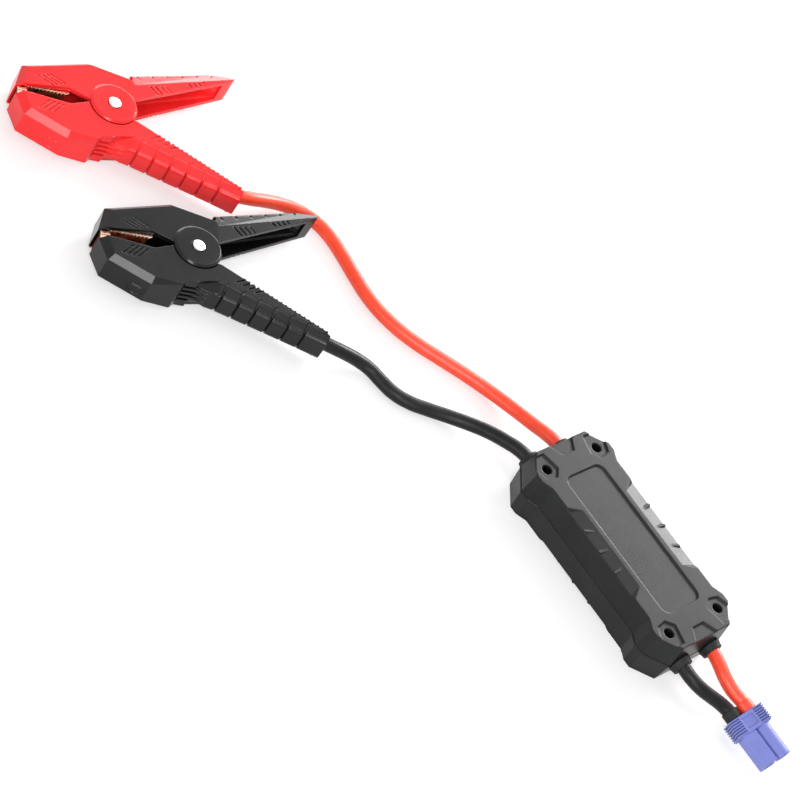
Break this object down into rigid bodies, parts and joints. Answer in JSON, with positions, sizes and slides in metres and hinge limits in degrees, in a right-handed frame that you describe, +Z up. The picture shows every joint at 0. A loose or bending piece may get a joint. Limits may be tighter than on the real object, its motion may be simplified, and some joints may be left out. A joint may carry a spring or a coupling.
{
  "type": "smart jumper clamp set",
  "caption": "Red and black sprung battery clamps on silicone leads, joined to a dark moulded control box with a blue two-barrel plug.",
  "frame": {"origin": "middle of the control box's flat base, on the table", "axes": "+Z up from the table; X along the clamps' mouths, noses towards -X"},
  "size_m": [0.3652, 0.364, 0.028],
  "materials": {
    "red_plastic": "satin",
    "black_plastic": "satin",
    "box_plastic": "fine texture",
    "blue_plastic": "satin",
    "red_silicone": "soft matte",
    "black_silicone": "soft matte",
    "black_rubber": "matte",
    "copper": "bright stamped copper",
    "gold_brass": "plated",
    "bright_steel": "bright plated",
    "spring_steel": "oiled",
    "bush_plastic": "plain",
    "board": "solder mask",
    "relay_plastic": "plain"
  },
  "bodies": {
    "set": {"red_cable_shell": "red_plastic", "red_rivet": "bright_steel", "red_bush": "bush_plastic", "red_spring": "spring_steel", "red_lower_jaw": "copper", "red_lower_jaw_screw": "spring_steel", "red_lug": "copper", "red_cable_clip": "red_plastic", "black_cable_shell": "black_plastic", "black_rivet": "bright_steel", "black_bush": "bush_plastic", "black_spring": "spring_steel", "black_lower_jaw": "copper", "black_lower_jaw_screw": "spring_steel", "black_lug": "copper", "black_cable_clip": "black_plastic", "box_upper_shell": "box_plastic", "box_lower_shell": "box_plastic", "box_screws": "spring_steel", "circuit_board": "board", "relays": "relay_plastic", "lead_terminals": "copper", "clamp_end_collars": "black_rubber", "plug_end_collars": "copper", "red_clamp_lead": "red_silicone", "black_clamp_lead": "black_silicone", "red_plug_lead": "copper", "black_plug_lead": "copper", "plug_housing": "copper", "plug_contacts": "copper", "plug_sleeves": "copper"},
    "red_moving_half": {"red_moving_shell": "red_plastic", "red_upper_jaw": "copper", "red_upper_jaw_screw": "spring_steel"},
    "black_moving_half": {"black_moving_shell": "black_plastic", "black_upper_jaw": "copper", "black_upper_jaw_screw": "spring_steel"}
  },
  "joints": [
    {"name": "red_clamp_hinge", "type": "hinge", "parent": "set", "child": "red_moving_half", "pos_m": [-0.2416, 0.2192, 0.0115], "axis": [0, 0, -1], "range_deg": [0, 38], "stiffness_Nm_per_rad": 1, "springref_deg": -5.73, "deforming": ["red_spring"]},
    {"name": "black_clamp_hinge", "type": "hinge", "parent": "set", "child": "black_moving_half", "pos_m": [-0.2066, 0.1382, 0.0115], "axis": [0, 0, -1], "range_deg": [0, 38], "stiffness_Nm_per_rad": 1, "springref_deg": -5.73, "deforming": ["black_spring"]}
  ]
}
